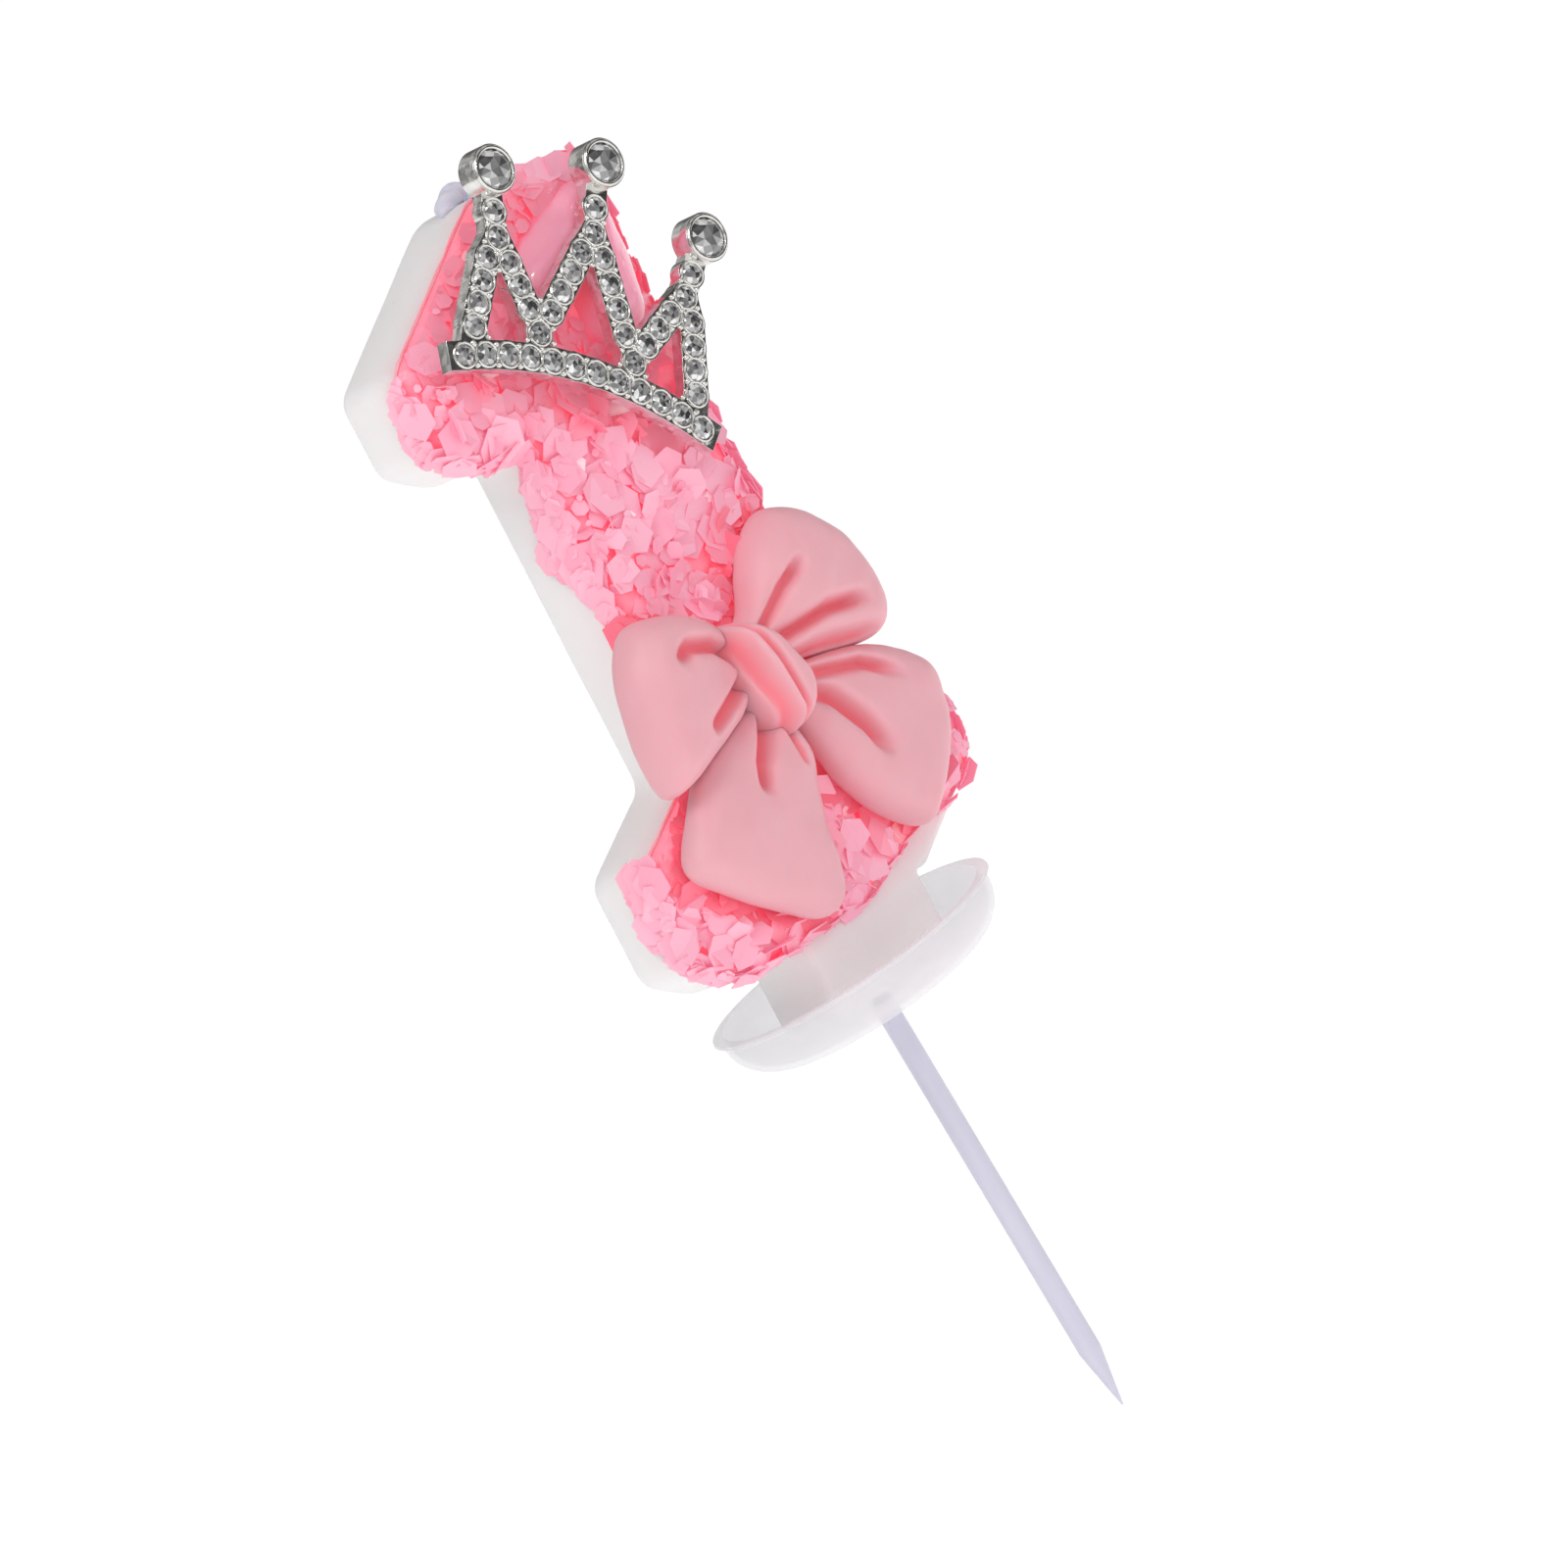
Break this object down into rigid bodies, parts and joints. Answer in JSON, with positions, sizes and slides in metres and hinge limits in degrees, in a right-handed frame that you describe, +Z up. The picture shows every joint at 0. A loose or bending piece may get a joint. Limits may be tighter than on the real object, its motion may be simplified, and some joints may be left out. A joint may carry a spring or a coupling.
{
  "type": "number birthday candle",
  "caption": "Numeral 1 candle with a flake-coated face, glued bow, heart and stone-set crown, standing in a drip dish on a pointed stake.",
  "frame": {"origin": "on the stake's axis at its shoulder, where the stake meets the dish's underside", "axes": "+Z up the stake's axis; the decorated face looks along -Y; +X to the viewer's right"},
  "size_m": [0.0385, 0.0274, 0.1182],
  "materials": {
    "wax": "frosted white candle wax, slightly translucent, with fine glitter",
    "wick": "waxed white cotton",
    "glue_coat": "clear glue tinted by the flakes in it",
    "pink_flake": "satin baby pink film",
    "pearl_flake": "pearly white film",
    "heart": "polished translucent resin",
    "bow": "matte cast resin",
    "glue": "clear set glue",
    "crown": "polished silver plating",
    "stone": "faceted foiled glass",
    "dish": "thin frosted clear plastic",
    "stake": "moulded lavender-white plastic"
  },
  "bodies": {
    "root": {"wax_numeral": "wax", "wick": "wick", "glue_coat": "glue_coat", "flakes_large": "pink_flake", "flakes_medium": "pink_flake", "flakes_small": "pink_flake", "flakes_pearl": "pearl_flake", "heart": "heart", "bow": "bow", "bow_glue": "glue", "crown_frame": "crown", "crown_glue": "glue", "finial_stone_left": "stone", "finial_stone_middle": "stone", "finial_stone_right": "stone", "base_row_stones": "stone", "left_spike_stones": "stone", "middle_spike_stones": "stone", "right_spike_stones": "stone", "drip_dish": "dish", "stake": "stake"}
  },
  "joints": []
}
